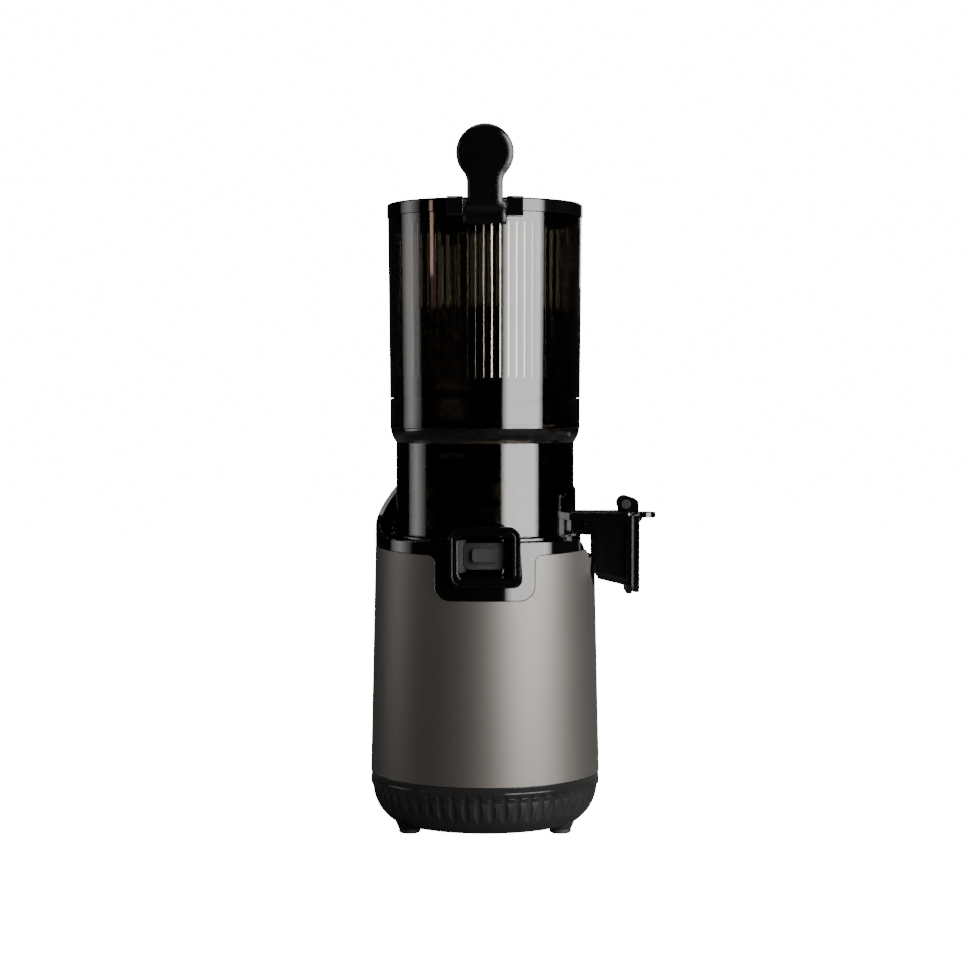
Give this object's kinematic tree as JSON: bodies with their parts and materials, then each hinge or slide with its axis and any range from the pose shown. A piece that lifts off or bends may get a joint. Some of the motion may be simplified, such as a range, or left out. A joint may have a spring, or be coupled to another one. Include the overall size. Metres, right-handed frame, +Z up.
{
  "type": "cold press juicer",
  "caption": "Upright slow juicer with a fluted motor base, lift-off smoky bowl and auger, front pulp port, side juice spout with hinged cap, and a wide hopper with hinged lid.",
  "frame": {"origin": "on the table, under the middle of the machine's bounding box, juice spout included; the upright axis of the motor, bowl and hopper is 19.6 mm towards -X from it", "axes": "+Z up, -Y towards the user and the pulp outlet, +X towards the juice spout"},
  "size_m": [0.1992, 0.16, 0.4812],
  "materials": {
    "satin_metal": "satin warm grey metallic paint",
    "gloss_black": "high-gloss black moulding",
    "matte_black": "fine-grained matte black moulding",
    "smoky_clear": "smoke-tinted see-through copolyester, polished",
    "auger_black": "smooth dark polymer, satin",
    "black_rubber": "soft matte rubber",
    "pale_silicone": "translucent grey silicone, satin",
    "steel": "machined steel",
    "cast_alloy": "as-cast alloy",
    "copper": "enamelled copper wire",
    "gear_nylon": "natural nylon",
    "board_green": "coated circuit board"
  },
  "bodies": {
    "base": {"base_housing": "matte_black", "rubber_feet": "black_rubber", "bottom_cover": "matte_black", "cover_screws": "steel", "outer_shell": "satin_metal", "top_collar": "gloss_black", "tie_rods": "steel", "motor_bracket": "cast_alloy", "motor_cap": "cast_alloy", "motor_bearings": "steel", "motor_stator": "steel", "motor_windings": "copper", "gearbox_case": "cast_alloy", "gearbox_lid": "cast_alloy", "drive_bearing": "steel", "shaft_seal": "black_rubber", "control_board": "board_green", "safety_switch": "matte_black", "switch_bezel": "gloss_black", "cord_gland": "black_rubber"},
    "rotor": {"motor_rotor": "steel", "cooling_fan": "matte_black"},
    "lay_shaft": {"lay_gear": "gear_nylon"},
    "drive": {"output_gear": "gear_nylon", "drive_shaft": "steel"},
    "rocker": {"rocker_switch": "gloss_black"},
    "bowl": {"juicing_bowl": "smoky_clear", "bowl_seal": "pale_silicone", "pulp_outlet": "gloss_black", "pulp_gate": "pale_silicone", "juice_spout": "gloss_black", "cap_pin": "steel", "strainer_frame": "matte_black", "strainer_mesh": "steel"},
    "auger_screw": {"auger": "auger_black", "auger_insert": "steel"},
    "cap": {"juice_cap": "gloss_black", "cap_gasket": "pale_silicone"},
    "hopper": {"hopper_base": "smoky_clear", "hopper_gasket": "black_rubber", "hopper_tube": "smoky_clear", "lid_pin": "steel"},
    "lid_assembly": {"lid": "gloss_black", "lid_gasket": "black_rubber", "lever_pin": "steel"},
    "lever": {"lid_lever": "gloss_black"}
  },
  "joints": [
    {"name": "rotor_spin", "type": "hinge", "parent": "base", "child": "rotor", "pos_m": [-0.0196, 0, 0.095], "axis": [0, 0, 1], "continuous": true},
    {"name": "lay_spin", "type": "hinge", "parent": "base", "child": "lay_shaft", "pos_m": [0.0179, 0, 0.148], "axis": [0, 0, 1], "continuous": true},
    {"name": "drive_spin", "type": "hinge", "parent": "base", "child": "drive", "pos_m": [-0.0196, 0, 0.18], "axis": [0, 0, 1], "continuous": true},
    {"name": "switch_rock", "type": "hinge", "parent": "base", "child": "rocker", "pos_m": [-0.0196, 0.073, 0.058], "axis": [1, 0, 0], "range_deg": [-12, 12]},
    {"name": "bowl_lift", "type": "slide", "parent": "base", "child": "bowl", "axis": [0, 0, 1], "range_m": [0, 0.06]},
    {"name": "auger_spin", "type": "hinge", "parent": "bowl", "child": "auger_screw", "pos_m": [-0.0196, 0, 0.22], "axis": [0, 0, 1], "continuous": true},
    {"name": "cap_hinge", "type": "hinge", "parent": "bowl", "child": "cap", "pos_m": [0.0781, 0, 0.2257], "axis": [0, -1, 0], "range_deg": [0, 110]},
    {"name": "hopper_lift", "type": "slide", "parent": "bowl", "child": "hopper", "axis": [0, 0, 1], "range_m": [0, 0.05]},
    {"name": "lid_hinge", "type": "hinge", "parent": "hopper", "child": "lid_assembly", "pos_m": [-0.0196, 0.0723, 0.428], "axis": [-1, 0, 0], "range_deg": [0, 100]},
    {"name": "lever_tilt", "type": "hinge", "parent": "lid_assembly", "child": "lever", "pos_m": [-0.0196, -0.0705, 0.427], "axis": [-1, 0, 0], "range_deg": [0, 20], "stiffness_Nm_per_rad": 0.1, "springref_deg": -9.74}
  ],
  "couplings": [
    {"joint": "lay_spin", "follows": "rotor_spin", "ratio": -0.25},
    {"joint": "drive_spin", "follows": "rotor_spin", "ratio": 0.0625},
    {"joint": "auger_spin", "follows": "rotor_spin", "ratio": 0.0625}
  ]
}
